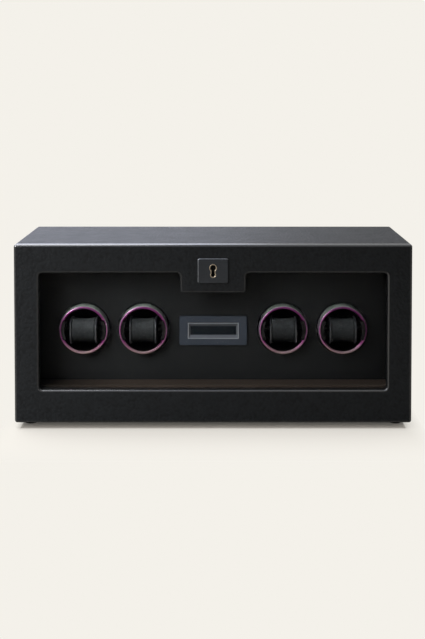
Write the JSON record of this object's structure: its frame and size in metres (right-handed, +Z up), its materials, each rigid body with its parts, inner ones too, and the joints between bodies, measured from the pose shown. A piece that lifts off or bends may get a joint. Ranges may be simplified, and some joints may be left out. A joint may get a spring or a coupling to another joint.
{
  "type": "watch winder box",
  "caption": "Leather-covered box with a drop-down glazed door, turning ring rotors that hold cushions for watches, and a small display between them.",
  "frame": {"origin": "centre of the footprint, on the surface that the feet stand on", "axes": "+X to the right seen from the front, +Y from the door towards the back, +Z up"},
  "size_m": [0.66, 0.2247, 0.307],
  "materials": {
    "leather_wrap": "fine pebble grain, satin",
    "back_board": "fine grain, matt",
    "panel_black": "matt black",
    "deck": "smooth, satin",
    "rubber": "matt",
    "screw_steel": "bright",
    "zinc_steel": "zinc plated",
    "display_surround": "satin blue-grey",
    "screen": "clear over a dark display",
    "circuit_board": "green solder mask",
    "chassis": "satin",
    "bronze_bush": "plain turned bronze",
    "motor_steel": "satin",
    "black_plastic": "matt",
    "cable": "matt",
    "glass": "clear, coated against reflections",
    "escutcheon": "dark satin",
    "keyhole_brass": "champagne, polished",
    "lock_hub": "black",
    "ring_chrome": "plum and gunmetal plating",
    "cup_plastic": "black flock",
    "gear_plastic": "natural acetal",
    "cushion_leather": "soft, semi-gloss"
  },
  "bodies": {
    "case": {"top_panel": "leather_wrap", "bottom_panel": "leather_wrap", "left_side_panel": "leather_wrap", "right_side_panel": "leather_wrap", "back_panel": "back_board", "rotor_panel": "panel_black", "deck_board": "deck", "rubber_feet": "rubber", "wood_screws": "screw_steel", "strike_plate": "zinc_steel", "hinge_brackets": "zinc_steel", "display_bezel": "display_surround", "display_window": "screen", "display_board": "circuit_board", "chassis_plate": "chassis", "chassis_posts": "chassis", "chassis_screws": "screw_steel", "spindle_bushes": "bronze_bush", "gearmotors": "motor_steel", "controller_board": "circuit_board", "dc_inlet": "black_plastic", "wiring_loom": "cable"},
    "door": {"door_frame": "leather_wrap", "door_glass": "glass", "glazing_bead": "cable", "escutcheon_plate": "escutcheon", "keyhole_liner": "keyhole_brass", "lock_case": "zinc_steel", "lock_screws": "screw_steel", "hinge_pins": "screw_steel"},
    "lock": {"lock_hub": "lock_hub", "lock_cam": "zinc_steel"},
    "rotor_1": {"bezel_ring_1": "ring_chrome", "rotor_cup_1": "cup_plastic", "spindle_1": "screw_steel", "drive_gear_1": "gear_plastic"},
    "pinion_1": {"motor_pinion_1": "gear_plastic"},
    "watch_cushion_1": {"cushion_1": "cushion_leather", "cushion_frame_1": "black_plastic"},
    "rotor_2": {"bezel_ring_2": "ring_chrome", "rotor_cup_2": "cup_plastic", "spindle_2": "screw_steel", "drive_gear_2": "gear_plastic"},
    "pinion_2": {"motor_pinion_2": "gear_plastic"},
    "watch_cushion_2": {"cushion_2": "cushion_leather", "cushion_frame_2": "black_plastic"},
    "rotor_3": {"bezel_ring_3": "ring_chrome", "rotor_cup_3": "cup_plastic", "spindle_3": "screw_steel", "drive_gear_3": "gear_plastic"},
    "pinion_3": {"motor_pinion_3": "gear_plastic"},
    "watch_cushion_3": {"cushion_3": "cushion_leather", "cushion_frame_3": "black_plastic"},
    "rotor_4": {"bezel_ring_4": "ring_chrome", "rotor_cup_4": "cup_plastic", "spindle_4": "screw_steel", "drive_gear_4": "gear_plastic"},
    "pinion_4": {"motor_pinion_4": "gear_plastic"},
    "watch_cushion_4": {"cushion_4": "cushion_leather", "cushion_frame_4": "black_plastic"}
  },
  "joints": [
    {"name": "door_hinge", "type": "hinge", "parent": "case", "child": "door", "pos_m": [0, -0.103, 0.016], "axis": [1, 0, 0], "range_deg": [0, 90]},
    {"name": "lock_turn", "type": "hinge", "parent": "door", "child": "lock", "pos_m": [0, -0.11, 0.2688], "axis": [0, -1, 0], "range_deg": [0, 90]},
    {"name": "rotor_1_spin", "type": "hinge", "parent": "case", "child": "rotor_1", "pos_m": [-0.2194, -0.06, 0.156], "axis": [0, -1, 0], "continuous": true},
    {"name": "pinion_1_spin", "type": "hinge", "parent": "case", "child": "pinion_1", "pos_m": [-0.2194, -0.06, 0.111], "axis": [0, -1, 0], "continuous": true},
    {"name": "cushion_1_slide", "type": "slide", "parent": "rotor_1", "child": "watch_cushion_1", "axis": [0, -1, 0], "range_m": [0, 0.015]},
    {"name": "rotor_2_spin", "type": "hinge", "parent": "case", "child": "rotor_2", "pos_m": [-0.1186, -0.06, 0.156], "axis": [0, -1, 0], "continuous": true},
    {"name": "pinion_2_spin", "type": "hinge", "parent": "case", "child": "pinion_2", "pos_m": [-0.1186, -0.06, 0.111], "axis": [0, -1, 0], "continuous": true},
    {"name": "cushion_2_slide", "type": "slide", "parent": "rotor_2", "child": "watch_cushion_2", "axis": [0, -1, 0], "range_m": [0, 0.015]},
    {"name": "rotor_3_spin", "type": "hinge", "parent": "case", "child": "rotor_3", "pos_m": [0.1186, -0.06, 0.156], "axis": [0, -1, 0], "continuous": true},
    {"name": "pinion_3_spin", "type": "hinge", "parent": "case", "child": "pinion_3", "pos_m": [0.1186, -0.06, 0.111], "axis": [0, -1, 0], "continuous": true},
    {"name": "cushion_3_slide", "type": "slide", "parent": "rotor_3", "child": "watch_cushion_3", "axis": [0, -1, 0], "range_m": [0, 0.015]},
    {"name": "rotor_4_spin", "type": "hinge", "parent": "case", "child": "rotor_4", "pos_m": [0.2194, -0.06, 0.156], "axis": [0, -1, 0], "continuous": true},
    {"name": "pinion_4_spin", "type": "hinge", "parent": "case", "child": "pinion_4", "pos_m": [0.2194, -0.06, 0.111], "axis": [0, -1, 0], "continuous": true},
    {"name": "cushion_4_slide", "type": "slide", "parent": "rotor_4", "child": "watch_cushion_4", "axis": [0, -1, 0], "range_m": [0, 0.015]}
  ],
  "couplings": [
    {"joint": "pinion_1_spin", "follows": "rotor_1_spin", "ratio": -4},
    {"joint": "pinion_2_spin", "follows": "rotor_2_spin", "ratio": -4},
    {"joint": "pinion_3_spin", "follows": "rotor_3_spin", "ratio": -4},
    {"joint": "pinion_4_spin", "follows": "rotor_4_spin", "ratio": -4}
  ]
}
